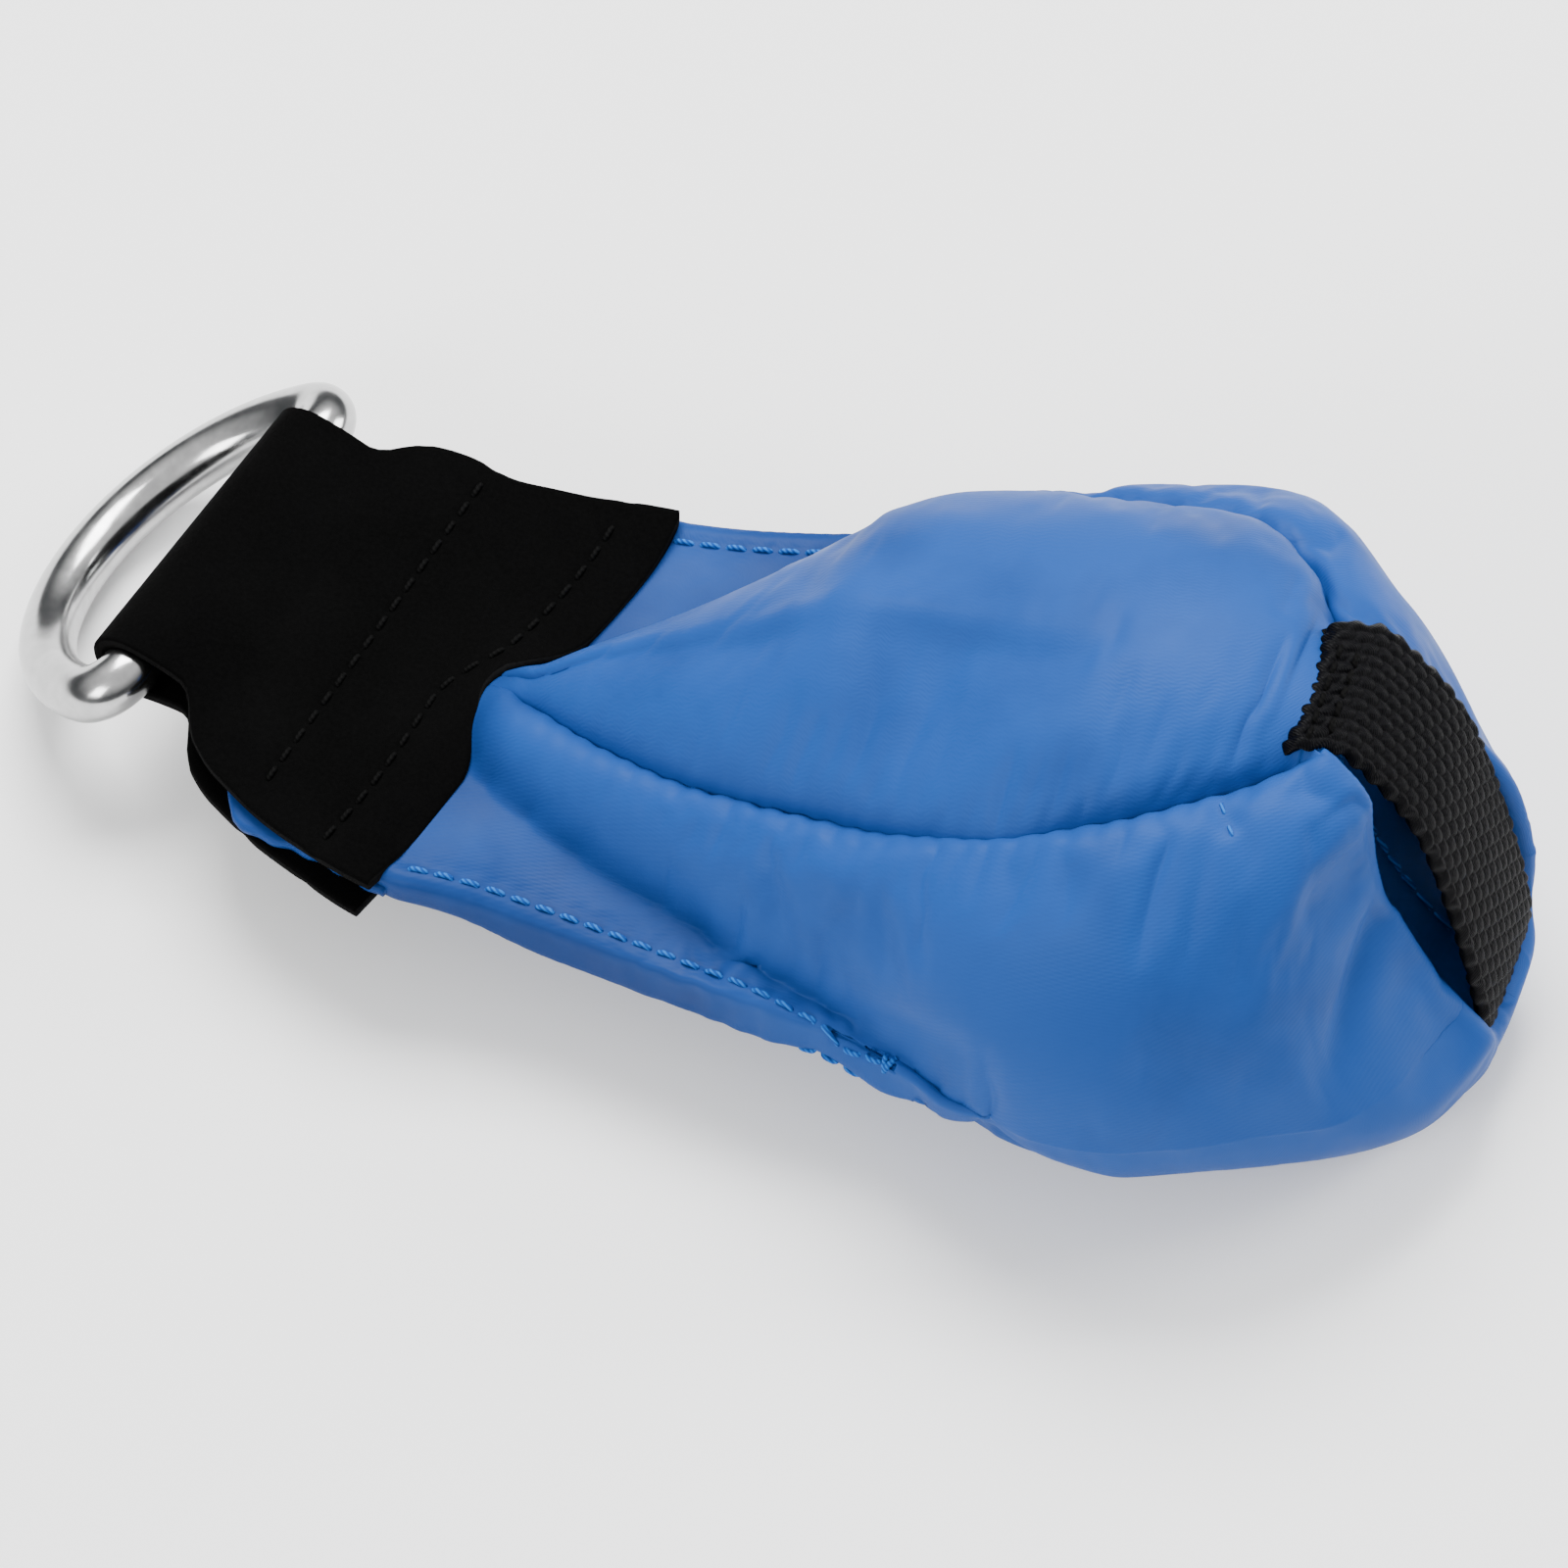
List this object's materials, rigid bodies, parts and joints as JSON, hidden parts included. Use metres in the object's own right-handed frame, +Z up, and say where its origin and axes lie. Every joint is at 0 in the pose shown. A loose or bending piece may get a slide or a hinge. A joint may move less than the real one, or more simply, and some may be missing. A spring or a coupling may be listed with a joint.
{
  "type": "throw weight bag",
  "caption": "Shot-filled nylon throw-line pouch: flat neck, steel D-ring held in a folded tab, webbing loop across its tail.",
  "frame": {"origin": "centre of the flat patch under the filled pouch that it rests on", "axes": "+X along the filled pouch from its neck to its tail, +Y to its far side, +Z up"},
  "size_m": [0.1505, 0.0706, 0.0495],
  "materials": {
    "ring_steel": "polished",
    "tab_suede": "matte suede",
    "nylon_blue": "coated nylon, semi-matte",
    "thread_blue": "bonded thread",
    "thread_black": "bonded thread",
    "webbing_black": "coarse woven webbing",
    "liner_white": "woven liner",
    "shot_steel": "loose steel shot"
  },
  "bodies": {
    "pouch": {"top_panel": "nylon_blue", "near_panel": "nylon_blue", "far_panel": "nylon_blue", "bottom_panel": "nylon_blue", "neck_edge_stitch_near": "thread_blue", "neck_edge_stitch_far": "thread_blue", "neck_backtack_near": "thread_blue", "neck_backtack_far": "thread_blue", "top_near_seam_thread": "thread_blue", "top_far_seam_thread": "thread_blue", "bottom_near_seam_thread": "thread_blue", "bottom_far_seam_thread": "thread_blue", "tail_seam_thread": "thread_blue", "webbing_loop": "webbing_black", "loop_tack_top": "thread_black", "loop_tack_bottom": "thread_black", "inner_bag": "liner_white", "shot_fill": "shot_steel"},
    "neck": {"ring_tab": "tab_suede", "neck_tongue": "nylon_blue", "tab_stitch_ring_side": "thread_black", "tab_stitch_pouch_side": "thread_black"},
    "ring": {"d_ring": "ring_steel"}
  },
  "joints": [
    {"name": "neck_fold", "type": "hinge", "parent": "pouch", "child": "neck", "pos_m": [-0.057, 0, 0.01515], "axis": [0.2756, 0.9613, 0], "range_deg": [-35, 35]},
    {"name": "ring_swing", "type": "hinge", "parent": "neck", "child": "ring", "pos_m": [-0.09055, 0.00962, 0.01515], "axis": [0.2756, 0.9613, 0], "range_deg": [-100, 178]}
  ]
}
